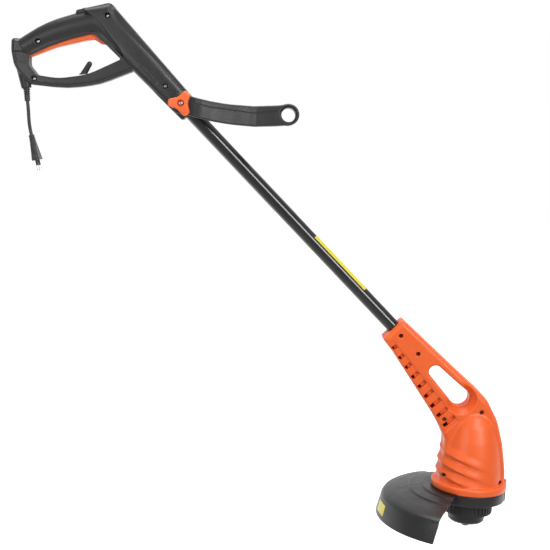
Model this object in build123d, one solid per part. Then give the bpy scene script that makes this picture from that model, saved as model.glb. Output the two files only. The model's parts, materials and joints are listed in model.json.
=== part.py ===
from build123d import *
import math
import os

# String trimmer. Millimetres. +X points forward to the head, +Y to the operator's left, +Z up.
# The origin is the middle of the rear grip, and the plane Y = 0 divides the two halves of each casing.

# ---------------------------------------------------------------- driving dimensions
PIVOT_X, PIVOT_Z = 212.0, -104.0        # clamp bolt of the front handle, on the shaft's axis
SHAFT_ANGLE = 43.3                      # slope of the shaft below the horizontal, degrees
TUBE_R, TUBE_WALL = 12.5, 1.2
TUBE_START, TUBE_END = -37.0, 600.0     # along the shaft, from the clamp bolt
GRIP_HALF, LOOP_HALF = 20.0, 15.0       # half widths of the grip with its barrel, and of the guard loop
EDGE_R = 7.0                            # rounding of the casings' long edges
WALL = 3.0
FIT = 0.05                              # radial clearance of running fits
GAP = 0.3                               # clearance between parts that only pass each other

HEAD_X = 768.0                          # vertical axis of motor and spool
HEAD_START = 545.0                      # upper end of the head housing, along the shaft
FLANGE_R, FLANGE_TOP, FLANGE_BOTTOM = 68.5, -753.0, -767.0
NECK_HALF, RIB_HALF = 27.0, 7.0
WINDOW_TOP, WINDOW_BOTTOM = 654.0, 718.0    # centres of the window's two round ends, along the shaft
WINDOW_TOP_R, WINDOW_BOTTOM_R = 12.0, 15.6
VENTS = 9

GUARD_HALF_ANGLE = 62.0
GUARD_RIM_R, GUARD_BOTTOM = 166.0, -828.0
COLLAR_R, COLLAR_BOTTOM = 66.0, -786.0

HANDLE_X, HANDLE_Z = 398.0, -113.0      # axis of the front grip
HANDLE_R, HANDLE_BORE_R, HANDLE_MOUTH_R = 17.5, 11.0, 14.0
HANDLE_HALF, MOUTH_DEPTH = 60.0, 8.0
ARM_INNER, ARM_OUTER = 20.5, 33.0       # the arms' faces at the clamp bolt

BOLT_R = 3.0
PIN_R = 2.0
MOTOR_SHAFT_R = 4.0
ARMATURE_R, AIR_GAP = 20.0, 0.7

CORD_R = 3.0
CORD_POINTS = [(-60.4, 0, -114.6), (-58.4, 0, -129.0), (-57.3, 0, -145.0), (-55.2, 0, -160.5), (-51.9, 0, -173.0)]
PLUG_LENGTH, PLUG_PIN_R, PLUG_PIN_LENGTH, PLUG_PIN_HALF_PITCH = 45.0, 2.0, 19.0, 9.4

SLOPE = math.radians(SHAFT_ANGLE)
DOWN_SHAFT = Vector(math.cos(SLOPE), 0, -math.sin(SLOPE))


# ---------------------------------------------------------------- helpers
def on_shaft(along, across=0.0):
    """Side-view point: along is measured down the shaft from the clamp bolt, across up and forward."""
    return (PIVOT_X + along * math.cos(SLOPE) + across * math.sin(SLOPE),
            PIVOT_Z - along * math.sin(SLOPE) + across * math.cos(SLOPE))


def at_shaft(along, across, radius):
    return (*on_shaft(along, across), radius)


def outline(corners):
    """Closed side-view face from corners (x, z, corner radius)."""
    path = FilletPolyline(*[(x, z) for x, z, _ in corners], radius=[r for _, _, r in corners], close=True)
    return make_face(path)


def slab(corners, half_width):
    return extrude(Plane.XZ * outline(corners), amount=half_width, both=True)


def rod(start, end, radius, radius_end=None):
    """Round bar, or a cone when radius_end is given, between two points."""
    start, end = Vector(*start), Vector(*end)
    plane = Plane(origin=start, z_dir=(end - start).normalized())
    length = (end - start).length
    if radius_end is None:
        return Solid.make_cylinder(radius, length, plane)
    return Solid.make_cone(radius, radius_end, length, plane)


def cross_rod(x, z, radius, y_low, y_high):
    return rod((x, y_low, z), (x, y_high, z), radius)


def upright(radius, z_low, z_high, x=HEAD_X, y=0.0, bore=0.0):
    body = rod((x, y, z_low), (x, y, z_high), radius)
    return body - rod((x, y, z_low), (x, y, z_high), bore) if bore else body


def shaft_rod(along_low, along_high, radius):
    low, high = on_shaft(along_low), on_shaft(along_high)
    return rod((low[0], 0, low[1]), (high[0], 0, high[1]), radius)


def block(x_size, y_size, z_size, x, y, z):
    return Pos(x, y, z) * Box(x_size, y_size, z_size)


def turned(profile, arc=360.0):
    """Solid turned about the head's axis from (radius, z) corners, centred on -X when arc is under 360."""
    face = make_face(Plane.XZ * Polyline(*[(-r, z) for r, z in profile], close=True))
    body = revolve(face, Axis.Z, revolution_arc=arc)
    return Pos(HEAD_X, 0, 0) * Rot(0, 0, -arc / 2 if arc < 360 else 0) * body


def round_long_edges(body, half_width, radius):
    """Round every edge of the two flat side faces at Y = +-half_width."""
    edges = [e for e in body.edges() if abs(abs(e.center().Y) - half_width) < 0.01]
    return fillet(edges, radius)


def halves(body):
    """The casing's two shells: right of the operator first (Y < 0), then left (Y > 0)."""
    size = 4000
    right = body & Pos(0, -size / 2, 0) * Box(size, size, size)
    left = body & Pos(0, size / 2, 0) * Box(size, size, size)
    return right, left


# ---------------------------------------------------------------- rear handle
GRIP_CORNERS = [
    (-79, -10, 3), (-46, 12.5, 140), (-12, 29.5, 140), (20, 40, 2.5), (23, 45.5, 2.5), (80, 61, 8),
    at_shaft(21, 19.7, 3), at_shaft(21, -19.7, 3), at_shaft(-168, -26, 8),
    (53, 7, 8.5), (15, -4, 150), (-22, -18.5, 150), (-60, -38, 3),
]
GRIP_CAVITY = [
    (-48, 5, 3), (-13, 23.5, 40), (24, 36, 5), (73, 50.5, 5), at_shaft(-92, 19.5, 3), at_shaft(-92, -18.5, 3),
    at_shaft(-158, -20.5, 3), (54, 13, 3), (15, 2, 40), (-22, -12, 40), (-48, -24.5, 3),
]
LOOP_CORNERS = [
    (-79, -8, 3), (-89, -8, 6), (-89, -30, 40), (-84, -52, 15), (-76, -66, 5), (-53, -86, 8), (10, -89.5, 200),
    (66, -79, 150), at_shaft(-96, -16, 3), at_shaft(-190, -14, 3), (30, 12, 3), (-40, -12, 3),
]
HAND_GAP = [
    (-57, -37, 2), (-57, -53, 8), (-43, -69, 8), (-5, -72.8, 100), (45, -63.5, 100), at_shaft(-128, -24.6, 2),
    at_shaft(-168, -26, 8), (53, 7, 8.5), (15, -4, 150), (-22, -18.5, 150),
]
COLUMN_CAVITY = [(-82, -14, 3), (-81, -50, 8), (-74, -63, 3), (-62.5, -63, 3), (-62.5, -26, 3), (-70, -14, 3)]
LEAD_PASSAGE = [(-74, -16, 2), (-46, 2, 2), (-46, -14, 2), (-64, -28, 2)]
TRIGGER_CORNERS = [
    (-62, -34, 3), (-57, -39.5, 3), (-11, -19.5, 60), (38, -5.5, 60), (54, -2.5, 10), (66, -9.5, 7), (74, -10, 2),
    (76, -2, 2), (56, 12, 5), (14, 1, 60), (-24, -14, 60), (-52, -26, 5),
]
TRIGGER_HALF = 8.0
TRIGGER_PIVOT = (-56.0, -33.5)
TRIGGER_SWING = 2.6
HANDLE_SCREWS = [(77, 38), (-41.5, -12), (181.5, -76), (-47, -76)]
GLAND_TOP, GLAND_BOTTOM = (-68.5, 0, -60), (-62.6, 0, -92.5)
BOOT_ROOT, BOOT_STEM_R = (-66.2, 0, -72.7), 4.2


def turn_trigger(body, degrees):
    """The trigger's turn about its pin, up into the grip for positive degrees."""
    x, z = TRIGGER_PIVOT
    return Pos(x, 0, z) * Rot(0, -degrees, 0) * Pos(-x, 0, -z) * body


def rear_handle():
    grip = round_long_edges(slab(GRIP_CORNERS, GRIP_HALF), GRIP_HALF, EDGE_R)
    loop = slab(LOOP_CORNERS, LOOP_HALF) - slab(HAND_GAP, LOOP_HALF + 1)
    gland = rod(GLAND_TOP, GLAND_BOTTOM, 12, 8.6)
    body = grip + loop + gland
    body -= slab(GRIP_CAVITY, GRIP_HALF - 4)
    body -= slab(COLUMN_CAVITY, LOOP_HALF - 4)
    body -= slab(LEAD_PASSAGE, 5)
    body -= shaft_rod(TUBE_START, 30, TUBE_R + FIT)
    body -= shaft_rod(-100, TUBE_START + 1, TUBE_R - TUBE_WALL)
    slot = slab(TRIGGER_CORNERS, TRIGGER_HALF + 0.6)
    body -= turn_trigger(slot, -0.3)
    body -= turn_trigger(slot, 0.35 * TRIGGER_SWING)
    body -= turn_trigger(slot, TRIGGER_SWING + 0.5)
    body -= cross_rod(*TRIGGER_PIVOT, PIN_R + FIT, -12, 12)
    body -= cross_rod(PIVOT_X, PIVOT_Z, BOLT_R + GAP, -30, 30)
    body -= rod(BOOT_ROOT, GLAND_BOTTOM, BOOT_STEM_R + FIT)
    body -= rod((-67.6, 0, -60), BOOT_ROOT, CORD_R + GAP)
    for x, z in HANDLE_SCREWS:
        depth = LOOP_HALF if z < -75 and x < 0 else GRIP_HALF
        body -= cross_rod(x, z, 1.6, -depth, depth - 5)
        body -= cross_rod(x, z, 4.0, -depth - 1, -depth + 6)
    return halves(body)


def handle_screws():
    """Countersunk at the bottom of their recesses, with a cross slot in each head."""
    screws = []
    for x, z in HANDLE_SCREWS:
        depth = LOOP_HALF if z < -75 and x < 0 else GRIP_HALF
        head = cross_rod(x, z, 3.4, -depth + 3.4, -depth + 6)
        head -= block(4, 1.6, 0.9, x, -depth + 3.4, z) + block(0.9, 1.6, 4, x, -depth + 3.4, z)
        screws.append(head + cross_rod(x, z, 1.5, -depth + 5.9, depth - 6))
    return Compound(children=screws)


def trigger():
    body = round_long_edges(slab(TRIGGER_CORNERS, TRIGGER_HALF), TRIGGER_HALF, 1.0)
    return body - cross_rod(*TRIGGER_PIVOT, PIN_R + FIT, -10, 10)


SWITCH_X, SWITCH_Z = 26.0, 19.5
PLUNGER_LOW, PLUNGER_HIGH, PLUNGER_TRAVEL = 5.7, 17.0, 3.5
SPRING_X, SPRING_LOW = 17.0, 2.7


def switch_body():
    body = block(28, 12, 13, SWITCH_X, 0, SWITCH_Z)
    return body - upright(2.5, SWITCH_Z - 7, PLUNGER_HIGH + PLUNGER_TRAVEL + 0.5, SWITCH_X)


def switch_plunger():
    return upright(2.4, PLUNGER_LOW, PLUNGER_HIGH, SWITCH_X)


def trigger_spring():
    return upright(2.8, SPRING_LOW, SWITCH_Z - 6.6, SPRING_X, bore=2.0)


def cord_clamp():
    """Bar across the lead inside the gland's root."""
    return block(8.4, 16, 4, -68, 0, -57.5) - rod((-68, 0, -62), (-68, 0, -50), LEAD_R + 0.6)


def cord_hook():
    """Peg on the guard loop that holds the extension lead's loop."""
    foot = slab([(25, -70, 1), (45, -66.5, 1), (40.5, -60, 1), (31, -61.5, 1)], 6)
    peg = rod((35.5, 0, -64), (46, 0, -44.5), 5.6, 4.6)
    tip = Pos(46, 0, -44.5) * Sphere(4.6)
    return (foot + peg + tip) & slab([(0, -69.2, 1), (60, -58.3, 1), (60, -30, 1), (0, -30, 1)], 8)


# ---------------------------------------------------------------- lead
def boot():
    """Ribbed strain relief whose stem sits in the casing's outlet."""
    start, end = Vector(*GLAND_BOTTOM), Vector(*CORD_POINTS[0])
    along = (end - start).normalized()
    body = rod(start + along * 0.6, end, 6.0, 4.8)
    for i in range(1, 6):
        ring = Plane(origin=start + (end - start) * (i / 6), z_dir=along)
        body -= Solid.make_cylinder(8, 1.6, ring) - Solid.make_cylinder(4.4, 1.6, ring)
    return body + rod(BOOT_ROOT, start + along * 0.7, BOOT_STEM_R)


def cord_path():
    points = [Vector(*p) for p in CORD_POINTS]
    radii = []
    for before, corner, after in zip(points, points[1:], points[2:]):
        turn = math.radians((corner - before).get_angle(after - corner))
        shorter = min((corner - before).length, (after - corner).length)
        radii.append(0.45 * shorter / math.tan(turn / 2))
    print("cord bend radii", [round(r) for r in radii])
    return FilletPolyline(*points, radius=radii)


def power_cord():
    path = cord_path()
    body = sweep(Plane(origin=path @ 0, z_dir=path % 0) * Circle(CORD_R), path=path)
    print("cord length", round(path.length, 1), "volume ratio",
          round(body.volume / (math.pi * CORD_R ** 2 * path.length), 4))
    return body


PLUG_AXIS = Vector(0.26, 0, -0.966).normalized()


def plug_plane(distance):
    return Plane(origin=Vector(*CORD_POINTS[-1]) + PLUG_AXIS * distance, x_dir=(0, 1, 0), z_dir=PLUG_AXIS)


def cord_plug():
    """Flat two-pin plug: narrow at the lead, wide and flared at the pin face."""
    sections = [(0, 11, 9.5, 4.5), (PLUG_LENGTH * 0.45, 20, 10.5, 5), (PLUG_LENGTH, 35.3, 13.7, 6)]
    faces = [plug_plane(d) * RectangleRounded(w, t, min(r, t / 2 - 0.2)) for d, w, t, r in sections]
    return loft(faces)


def plug_pins():
    pins = []
    for side in (-1, 1):
        plane = plug_plane(PLUG_LENGTH)
        plane = plane.shift_origin(plane.origin + Vector(0, side * PLUG_PIN_HALF_PITCH, 0))
        pins.append(fillet(Solid.make_cylinder(PLUG_PIN_R, PLUG_PIN_LENGTH, plane).edges().sort_by(Axis.Z)[0], 1.0))
    return Compound(children=pins)


# ---------------------------------------------------------------- shaft
LABEL_START, LABEL_LENGTH, LABEL_THICKNESS = 330.0, 130.0, 0.25
LEAD_R = 2.6


def lead_point(along, across):
    x, z = on_shaft(along, across)
    return x, 0, z


def lead(points, bend):
    path = FilletPolyline(*points, radius=bend)
    return sweep(Plane(origin=path @ 0, z_dir=path % 0) * Circle(LEAD_R), path=path)


def supply_lead():
    """From the boot's root up the column and through the grip to the switch."""
    switch_end = SWITCH_X - 14.05
    return lead([BOOT_ROOT, (-68, 0, -60), (-69, 0, -36), (-63, 0, -17), (-45, 0, -3), (-18, 0, 12),
                 (0, 0, SWITCH_Z), (switch_end, 0, SWITCH_Z)], 8)


def motor_lead():
    """From the switch down the tube, along its lower wall, and under the window to the motor's brushes."""
    points = [(SWITCH_X + 14.05, 0, 21), (62, 0, 21), lead_point(-160, -5), lead_point(-110, -7.5),
              lead_point(606, -7.5), lead_point(634, -19), lead_point(690, -29), lead_point(742, -30)]
    return lead(points, 12)


def shaft_tube():
    body = shaft_rod(TUBE_START, TUBE_END, TUBE_R) - shaft_rod(TUBE_START, TUBE_END, TUBE_R - TUBE_WALL)
    body -= cross_rod(PIVOT_X, PIVOT_Z, BOLT_R + GAP, -20, 20)
    return body - cross_rod(*HEAD_SCREWS[0], 1.6, -20, 20)


def shaft_label():
    """Printed band on the upper front of the tube."""
    low = on_shaft(LABEL_START)
    plane = Plane(origin=(low[0], 0, low[1]), x_dir=(math.sin(SLOPE), 0, math.cos(SLOPE)), z_dir=DOWN_SHAFT)
    band = Circle(TUBE_R + LABEL_THICKNESS) - Circle(TUBE_R)
    wedge = make_face(Polyline((0, 0), (20, 27), (40, 0), (20, -14), close=True))
    return extrude(plane * (band & wedge), amount=LABEL_LENGTH)


# ---------------------------------------------------------------- front handle
ARM_CORNERS = [
    (212, -87, 3), (262, -98, 350), (338, -104.5, 350), (398, -95.5, 3), (410, -113, 5), (398, -130.5, 3),
    (338, -138.5, 350), (262, -132, 350), (212, -121, 3),
]


def front_handle():
    side = slab(ARM_CORNERS, HANDLE_HALF) + cross_rod(PIVOT_X, PIVOT_Z, 18.5, -HANDLE_HALF, HANDLE_HALF)
    side += cross_rod(HANDLE_X, HANDLE_Z, HANDLE_R, -HANDLE_HALF, HANDLE_HALF)
    arms = None
    for sign in (-1, 1):
        plan = Polyline(
            (PIVOT_X - 30, sign * ARM_INNER), (PIVOT_X + 30, sign * ARM_INNER), (352, sign * (HANDLE_HALF - 11)),
            (430, sign * (HANDLE_HALF - 11)), (430, sign * HANDLE_HALF), (348, sign * HANDLE_HALF),
            (PIVOT_X + 30, sign * ARM_OUTER), (PIVOT_X - 30, sign * ARM_OUTER), close=True)
        arm = side & Pos(0, 0, -300) * extrude(make_face(plan), amount=400)
        arms = arm if arms is None else arms + arm
    body = arms + cross_rod(HANDLE_X, HANDLE_Z, HANDLE_R, -HANDLE_HALF, HANDLE_HALF)
    body -= cross_rod(HANDLE_X, HANDLE_Z, HANDLE_BORE_R, -HANDLE_HALF - 1, HANDLE_HALF + 1)
    for sign in (-1, 1):
        near, far = sorted((sign * (HANDLE_HALF - MOUTH_DEPTH), sign * (HANDLE_HALF + 1)))
        body -= cross_rod(HANDLE_X, HANDLE_Z, HANDLE_MOUTH_R, near, far)
    body -= cross_rod(PIVOT_X, PIVOT_Z, BOLT_R + GAP, -40, 40)
    return body - cross_rod(PIVOT_X, PIVOT_Z, 6.4, ARM_OUTER - 5.2, ARM_OUTER + 1)


KNOB_BACK, KNOB_FRONT = -ARM_OUTER - 0.3, -ARM_OUTER - 15.0


def clamp_knob():
    """Three blunt lobes with hollowed sides, and a recess for the bolt's head."""
    corners = []
    for i in range(3):
        for turn, radius, rounding in ((-17, 22.5, 4.5), (17, 22.5, 4.5), (60, 14.2, 25)):
            angle = math.radians(60 + 120 * i + turn)
            corners.append((PIVOT_X + radius * math.cos(angle), PIVOT_Z + radius * math.sin(angle), rounding))
    depth = KNOB_BACK - KNOB_FRONT
    body = Pos(0, (KNOB_FRONT + KNOB_BACK) / 2, 0) * slab(corners, depth / 2)
    front = [e for e in body.edges() if abs(e.center().Y - KNOB_FRONT) < 0.01]
    body = fillet(front, 2.0)
    body -= cross_rod(PIVOT_X, PIVOT_Z, 5.2, KNOB_FRONT - 1, KNOB_FRONT + 7)
    return body - cross_rod(PIVOT_X, PIVOT_Z, BOLT_R, KNOB_FRONT, KNOB_BACK + 1)


def clamp_bolt():
    head = cross_rod(PIVOT_X, PIVOT_Z, 4.2, KNOB_FRONT + 3, KNOB_FRONT + 7)
    head -= block(5, 2.4, 1.1, PIVOT_X, KNOB_FRONT + 3, PIVOT_Z) + block(1.1, 2.4, 5, PIVOT_X, KNOB_FRONT + 3, PIVOT_Z)
    return head + cross_rod(PIVOT_X, PIVOT_Z, BOLT_R, KNOB_FRONT + 7, ARM_OUTER + 1)


def clamp_nut():
    prism = Plane.XZ * (Pos(PIVOT_X, PIVOT_Z) * RegularPolygon(5.4, 6, major_radius=False))
    body = extrude(prism, amount=-5.0)
    return Pos(0, ARM_OUTER - 5.1, 0) * body - cross_rod(PIVOT_X, PIVOT_Z, BOLT_R + FIT, 0, 60)


# ---------------------------------------------------------------- head housing
NECK_CORNERS = [
    at_shaft(HEAD_START, 21.5, 4), (763, -580, 60), (787, -603, 40), (807, -640, 80), (820, -684, 80),
    (828, -731, 60), (829, -757, 2), (711, -757, 2), (709, -700, 20), (712.5, -674, 15), (704, -655, 40),
    (687, -628, 100), (609, -521, 30), at_shaft(HEAD_START, -28, 4),
]
RIB_CORNERS = [
    (700, -520, 10), (764, -578, 60), (788, -602, 40), (810, -640, 80), (823, -684, 80), (831, -731, 60),
    (833, -757, 2), (790, -757, 2), (780, -700, 60), (755, -620, 60),
]
DOME_PROFILE = [(0, -757), (60, -757), (58, -731), (54.5, -700), (49.5, -675), (41.5, -648), (30, -627), (0, -616)]
VENT_START, VENT_PITCH, VENT_WIDTH = 570.0, 20.9, 6.5
HEAD_SCREWS = [(621, -490), (654, -521), (776, -621), (710, -638), (716, -739), (818, -748)]
HEAD_SCREW_Y = [-20, -20, -22, -20, -26, -12]
BOSS_X, BOSS_R = 831.0, 6.5


def window():
    top, bottom = on_shaft(WINDOW_TOP), on_shaft(WINDOW_BOTTOM)
    ends = Pos(*top) * Circle(WINDOW_TOP_R) + Pos(*bottom) * Circle(WINDOW_BOTTOM_R)
    return extrude(Plane.XZ * make_hull(ends.edges()), amount=60, both=True)


def head_cavity():
    inner = turned([(max(r - WALL, 0), z - (4 if z > -757 else -1)) for r, z in DOME_PROFILE])
    duct = slab([at_shaft(552, -18, 2), at_shaft(640, -17, 2), at_shaft(735, -21, 2), (760, -655, 5), (715, -660, 5),
                 (693, -629, 20), (616, -524, 5), at_shaft(560, -25, 2)], NECK_HALF - 5)
    passage = slab([at_shaft(598, -4.3, 1), at_shaft(616, -4.3, 3), at_shaft(645, -16, 3), at_shaft(645, -24, 2),
                    at_shaft(598, -24, 1)], 4)
    return inner + duct + passage


def vent_slots():
    slots = []
    for i in range(VENTS):
        along = VENT_START + VENT_PITCH * i
        upper, lower = -19 - 1.5 * i, -27 - 3.7 * i
        x, z = on_shaft(along, (upper + lower) / 2)
        for side in (-1, 1):
            slots.append(Pos(x, side * 30, z) * Rot(0, SHAFT_ANGLE, 0) * Box(VENT_WIDTH, 30, upper - lower))
    return slots


def head_housing():
    neck = round_long_edges(slab(NECK_CORNERS, NECK_HALF), NECK_HALF, EDGE_R)
    dome = turned(DOME_PROFILE)
    flange = turned([(50, FLANGE_TOP), (FLANGE_R - 2, FLANGE_TOP), (FLANGE_R, FLANGE_TOP - 3),
                     (FLANGE_R, FLANGE_BOTTOM + 2), (FLANGE_R - 2, FLANGE_BOTTOM), (50, FLANGE_BOTTOM)])
    boss = upright(BOSS_R, FLANGE_BOTTOM - 3, FLANGE_TOP + 4, BOSS_X)
    body = neck + dome + slab(RIB_CORNERS, RIB_HALF) + flange + boss
    body -= head_cavity()
    body -= upright(57, FLANGE_BOTTOM - 1, -756)
    body -= window()
    for slot in vent_slots():
        body -= slot
    body -= shaft_rod(HEAD_START - 5, TUBE_END, TUBE_R + FIT)
    for (x, z), y in zip(HEAD_SCREWS, HEAD_SCREW_Y):
        body -= cross_rod(x, z, 3.8, -80, y)
        body -= cross_rod(x, z, 1.6, y - 1, 12)
    for x, y in guard_screw_places():
        body -= upright(1.7, FLANGE_BOTTOM - 4, -757.5, x, y)
    return halves(body)


def head_screws():
    screws = []
    for (x, z), y in zip(HEAD_SCREWS, HEAD_SCREW_Y):
        head = cross_rod(x, z, 3.4, y - 2.6, y) - block(4, 1.6, 0.9, x, y - 2.6, z) - block(0.9, 1.6, 4, x, y - 2.6, z)
        screws.append(head + cross_rod(x, z, 1.5, y - 0.1, 11))
    return Compound(children=screws)


# ---------------------------------------------------------------- motor
STATOR_TOP, STATOR_BOTTOM = -672.0, -710.0


def motor_bracket():
    plate = upright(56.5, -756, -752.5, bore=4.6) + upright(14, -756, -738, bore=4.6)
    plate -= upright(11 + FIT, -752, -738)
    for i in range(8):
        plate -= Pos(HEAD_X, 0, 0) * Rot(0, 0, 45 * i + 22.5) * block(22, 9, 10, 36, 0, -754)
    return plate


def bearing(z_low, z_high):
    return upright(11, z_low, z_high, bore=MOTOR_SHAFT_R + FIT)


def upper_bearing_bridge():
    ring = upright(14, -643, -632, bore=11 + FIT)
    bar = block(62, 10, 5, HEAD_X, 0, -644) - upright(12, -650, -630)
    return ring + bar


def armature_core():
    body = upright(ARMATURE_R, STATOR_BOTTOM + 1, STATOR_TOP - 1, bore=MOTOR_SHAFT_R)
    for i in range(12):
        body -= Pos(HEAD_X, 0, 0) * Rot(0, 0, 30 * i) * block(7, 2.6, 60, ARMATURE_R - 2.5, 0, -691)
    return body


def armature_windings():
    top = upright(17, STATOR_TOP - 1, STATOR_TOP + 5, bore=MOTOR_SHAFT_R + 1)
    bottom = upright(17, STATOR_BOTTOM - 5, STATOR_BOTTOM + 1, bore=MOTOR_SHAFT_R + 1)
    return Compound(children=[top, bottom])


def stator_core():
    outer = upright(34, STATOR_BOTTOM, STATOR_TOP, bore=27)
    poles = upright(29, STATOR_BOTTOM, STATOR_TOP, bore=ARMATURE_R + AIR_GAP)
    return outer + (poles & block(40, 70, 60, HEAD_X, 0, -691))


def field_coils():
    coils = []
    for side in (-1, 1):
        ring = upright(26.6, STATOR_BOTTOM - 6, STATOR_TOP + 6, bore=ARMATURE_R + 1.5)
        coils.append(ring & block(9, 40, 80, HEAD_X + side * 24.8, 0, -691))
    return Compound(children=coils)


def commutator():
    body = upright(10, -662, -650, bore=MOTOR_SHAFT_R)
    for i in range(12):
        body -= Pos(HEAD_X, 0, 0) * Rot(0, 0, 30 * i) * block(2, 0.5, 20, 10, 0, -656)
    return body


def carbon_brushes():
    return Compound(children=[block(14, 5, 7, HEAD_X + side * 17.3, 0, -656) for side in (-1, 1)])


def brush_holders():
    holders = []
    for side in (-1, 1):
        outer = block(16, 9, 11, HEAD_X + side * 22, 0, -656)
        holders.append(outer - block(18, 5.1, 7.1, HEAD_X + side * 22, 0, -656))
    return Compound(children=holders)


def cooling_fan():
    body = upright(9, -734, -722, bore=MOTOR_SHAFT_R) + upright(34, -734, -732, bore=MOTOR_SHAFT_R)
    for i in range(9):
        body += Pos(HEAD_X, 0, 0) * Rot(0, 0, 40 * i) * block(25, 1.6, 10, 20.5, 0, -727.5)
    return body


# ---------------------------------------------------------------- guard
GUARD_PROFILE = [
    (63, -768), (85, -768), (86.5, -771), (108, -773), (110, -776), (133, -780), (148, -784.5), (154, -788),
    (157.5, -793), (GUARD_RIM_R, GUARD_BOTTOM), (GUARD_RIM_R - 2.6, GUARD_BOTTOM), (155, -794), (152.4, -790.3),
    (147, -787.3), (132.5, -782.8), (109, -778.8), (107, -775.6), (85.5, -773.6), (84, -770.6), (63, -770.6),
]
GUARD_SCREW_R, GUARD_SCREW_ANGLES = 60.0, (0, 120, 240)
CUTTER_ANGLE = 180 - GUARD_HALF_ANGLE + 5
CUTTER_SCREW_Y = (-7, 3)


def guard_screw_places():
    turns = [math.radians(angle) for angle in GUARD_SCREW_ANGLES]
    return [(HEAD_X + GUARD_SCREW_R * math.cos(t), GUARD_SCREW_R * math.sin(t)) for t in turns]


def at_cutter(body):
    """Place a piece, drawn on the +X side of the origin's Z axis, at the line cutter on the guard's skirt."""
    return Pos(HEAD_X, 0, 0) * Rot(0, 0, CUTTER_ANGLE) * body


def cutter_bars(radius):
    return [at_cutter(rod((155.5, y, -817), (162.0, y, -817), radius)) for y in CUTTER_SCREW_Y]


def guard():
    wing = turned(GUARD_PROFILE, 2 * GUARD_HALF_ANGLE)
    collar = upright(COLLAR_R, COLLAR_BOTTOM, FLANGE_BOTTOM, bore=COLLAR_R - 3)
    plate = upright(COLLAR_R - 2, FLANGE_BOTTOM - 3, FLANGE_BOTTOM, bore=18)
    boss = upright(BOSS_R, COLLAR_BOTTOM - 5, FLANGE_BOTTOM - 3, BOSS_X) - upright(COLLAR_R - 3, -800, -768)
    body = wing + collar + plate + boss
    body -= upright(BOSS_R + 0.1, FLANGE_BOTTOM - 3, FLANGE_BOTTOM + 1, BOSS_X)
    for x, y in guard_screw_places():
        body -= upright(1.8, -800, -760, x, y)
    for bar in cutter_bars(2.3):
        body -= bar
    return body


def guard_screws():
    places = guard_screw_places()
    return Compound(children=[upright(3.0, -772.5, -770, x, y) + upright(1.6, -770, -758, x, y) for x, y in places])


def guard_label():
    """Blank warning-coloured patch on the guard's skirt."""
    band = turned([(GUARD_RIM_R - 6.4 + 0.02, -800), (GUARD_RIM_R - 6.1 + 0.02, -800),
                   (GUARD_RIM_R - 1.8, -819), (GUARD_RIM_R - 2.1, -819)], 14)
    return Pos(HEAD_X, 0, 0) * Rot(0, 0, 8) * Pos(-HEAD_X, 0, 0) * band


def line_cutter():
    """Steel blade that trims the line: a plate on the skirt with one edge turned towards the spool."""
    body = at_cutter(block(1.6, 26, 16, 157.5, 0, -819) + block(18, 1.6, 10, 149.5, 12.2, -816))
    for bar in cutter_bars(2.3):
        body -= bar
    return body


def cutter_screws():
    return Compound(children=cutter_bars(2.2))


# ---------------------------------------------------------------- spool
CUP_R, CUP_TOP, CUP_BOTTOM = 46.0, -772.0, -811.0
CAP_R, CAP_BOTTOM = 33.0, -830.0
BUMP_R, BUMP_BOTTOM = 10.0, -841.0
EYELET_Z = -796.0


def armature_shaft():
    return upright(MOTOR_SHAFT_R, -781, -630)


def spool_cup():
    body = turned([(0, CUP_TOP), (38, CUP_TOP), (44, CUP_TOP - 3), (CUP_R - 1, CUP_BOTTOM), (CUP_R - 3.5, CUP_BOTTOM),
                   (41.5, CUP_TOP - 5), (0, CUP_TOP - 3)])
    body += upright(9, CUP_TOP - 9, CUP_TOP - 2)
    for i in range(36):
        body += Pos(HEAD_X, 0, 0) * Rot(0, 0, 10 * i) * block(2.4, 2.2, 22, CUP_R - 1.2, 0, CUP_BOTTOM + 11)
    body -= upright(MOTOR_SHAFT_R, CUP_TOP - 10, CUP_TOP + 1)
    for side in (-1, 1):
        body -= rod((HEAD_X + side * 36, 0, EYELET_Z), (HEAD_X + side * 50, 0, EYELET_Z), 3.5)
    return body


def line_eyelets():
    rings = []
    for side in (-1, 1):
        tube = rod((HEAD_X + side * 40, 0, EYELET_Z), (HEAD_X + side * 47.6, 0, EYELET_Z), 3.5)
        rings.append(tube - rod((HEAD_X + side * 39, 0, EYELET_Z), (HEAD_X + side * 49, 0, EYELET_Z), 2.0))
    return Compound(children=rings)


def spool_cap():
    return turned([(11, CAP_BOTTOM), (CAP_R - 3, CAP_BOTTOM), (CAP_R, CAP_BOTTOM + 3), (CAP_R + 1, CUP_BOTTOM - 3),
                   (CUP_R - 1, CUP_BOTTOM - 0.5), (CUP_R - 1, CUP_BOTTOM), (CUP_R - 4, CUP_BOTTOM),
                   (CAP_R - 2, CUP_BOTTOM - 3), (CAP_R - 3, CAP_BOTTOM + 4), (11, CAP_BOTTOM + 2.5)])


def spool():
    body = upright(38, -785, -783, bore=11) + upright(38, -807, -805, bore=11)
    return body + upright(15, -807, -783, bore=11)


def line_winding():
    return upright(33, -804.6, -785.4, bore=15.3)


def spool_spring():
    return upright(10.4, -806, -784.5, bore=9.4)


def bump_button():
    body = upright(BUMP_R, BUMP_BOTTOM + 4, -809.5) + upright(14.5, -809.5, -807)
    body += turned([(0, BUMP_BOTTOM), (6, BUMP_BOTTOM), (BUMP_R, BUMP_BOTTOM + 4), (0, BUMP_BOTTOM + 4)])
    return body


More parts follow.
